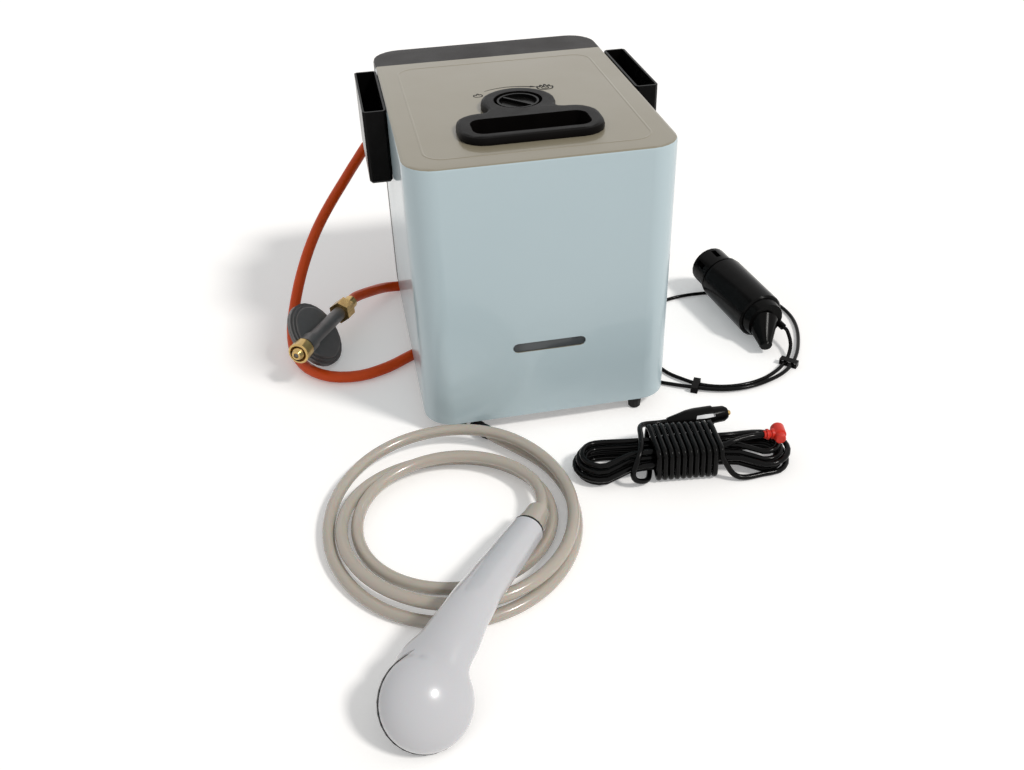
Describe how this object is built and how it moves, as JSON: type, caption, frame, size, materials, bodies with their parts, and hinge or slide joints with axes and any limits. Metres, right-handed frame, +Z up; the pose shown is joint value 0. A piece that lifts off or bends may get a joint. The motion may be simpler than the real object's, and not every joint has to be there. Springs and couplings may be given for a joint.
{
  "type": "portable gas water heater",
  "caption": "Portable gas water heater: upright enamel case with carry recess, knob, side pockets, regulator and hose, hand shower with coiled hose, small pump and 12 V lead.",
  "frame": {"origin": "middle of the footprint of the rigid parts, on the floor", "axes": "+Z up, -Y towards the front of the case, +X to its right as seen from the front"},
  "size_m": [0.6281, 0.8349, 0.316],
  "materials": {
    "zinc": "zinc plated",
    "brass": "machined",
    "copper": "copper, plain",
    "black_plastic": "matt black",
    "ceramic": "white ceramic",
    "rubber": "black",
    "orange_hose": "orange gas hose",
    "cast_zinc": "grey die casting",
    "charcoal_plastic": "matt charcoal",
    "white_plastic": "white, glossy",
    "milky_hose": "milky, see-through",
    "black_pvc": "black cable sheath",
    "enamel": "satin light grey-blue enamel",
    "dark_steel": "matt charcoal",
    "red_plastic": "red",
    "steel_tip": "bright",
    "glass": "smoked"
  },
  "bodies": {
    "heater_set": {"base_plate": "zinc", "burner_bars": "zinc", "burner_manifold": "brass", "burner_pipe": "copper", "combustion_chamber": "zinc", "connection_panel": "black_plastic", "flame_sensor": "ceramic", "flow_sensor": "black_plastic", "flue_hood": "zinc", "foot_front_left": "rubber", "foot_front_right": "rubber", "foot_rear_left": "rubber", "foot_rear_right": "rubber", "gas_hose": "orange_hose", "gas_inlet_fitting": "brass", "gas_inlet_pipe": "copper", "gas_valve": "cast_zinc", "handle_bezel": "charcoal_plastic", "handset_body": "white_plastic", "handset_ring": "rubber", "heat_exchanger_fins": "copper", "hose_connector": "charcoal_plastic", "hose_ferrule": "brass", "ignition_electrode": "ceramic", "ignition_module": "black_plastic", "lead_hank": "black_pvc", "lead_plug_body": "black_plastic", "lead_socket": "black_plastic", "lead_tie_1": "black_plastic", "lead_tie_2": "black_plastic", "outer_shell": "enamel", "pocket_left": "black_plastic", "pocket_right": "black_plastic", "pump_body": "black_plastic", "pump_lead": "black_pvc", "pump_motor": "zinc", "pump_plug": "black_plastic", "pump_socket": "black_plastic", "rear_housing": "dark_steel", "red_plug": "red_plastic", "regulator_body": "cast_zinc", "regulator_cover": "cast_zinc", "regulator_outlet_nut": "brass", "shower_hose": "milky_hose", "spray_plate": "black_plastic", "tilt_switch": "black_plastic", "viewing_window": "glass", "water_coil": "copper", "water_inlet_fitting": "brass", "water_inlet_pipe": "copper", "water_outlet_fitting": "brass", "water_outlet_pipe": "copper"},
    "knob": {"control_knob": "black_plastic", "valve_spindle": "steel_tip"},
    "regulator_nut": {"regulator_inlet_nut": "brass"},
    "shower_nut": {"handset_nut": "milky_hose"},
    "strainer_cap": {"pump_cap": "black_plastic"},
    "impeller": {"pump_impeller": "white_plastic"},
    "sprung_tip": {"lead_plug_tip": "brass"}
  },
  "joints": [
    {"name": "knob_turn", "type": "hinge", "parent": "heater_set", "child": "knob", "pos_m": [-0.01957, 0.14242, 0.31], "axis": [0, 0, -1], "range_deg": [0, 85]},
    {"name": "regulator_nut_swivel", "type": "hinge", "parent": "heater_set", "child": "regulator_nut", "pos_m": [-0.28572, 0.12846, 0.04953], "axis": [0.4435, 0.8895, -0.1097], "continuous": true},
    {"name": "shower_nut_swivel", "type": "hinge", "parent": "heater_set", "child": "shower_nut", "pos_m": [-0.06857, -0.16558, 0.0262], "axis": [-0.5363, -0.838, 0.1009], "continuous": true},
    {"name": "strainer_cap_turn", "type": "hinge", "parent": "heater_set", "child": "strainer_cap", "pos_m": [0.25376, 0.20718, 0.03332], "axis": [-0.1528, 0.9871, 0.0471], "range_deg": [0, 30]},
    {"name": "impeller_spin", "type": "hinge", "parent": "heater_set", "child": "impeller", "pos_m": [0.25825, 0.17816, 0.03194], "axis": [-0.1528, 0.9871, 0.0471], "continuous": true},
    {"name": "tip_push", "type": "slide", "parent": "heater_set", "child": "sprung_tip", "axis": [-1, 0, 0], "range_m": [0, 0.0025], "stiffness_N_per_m": 1500}
  ]
}
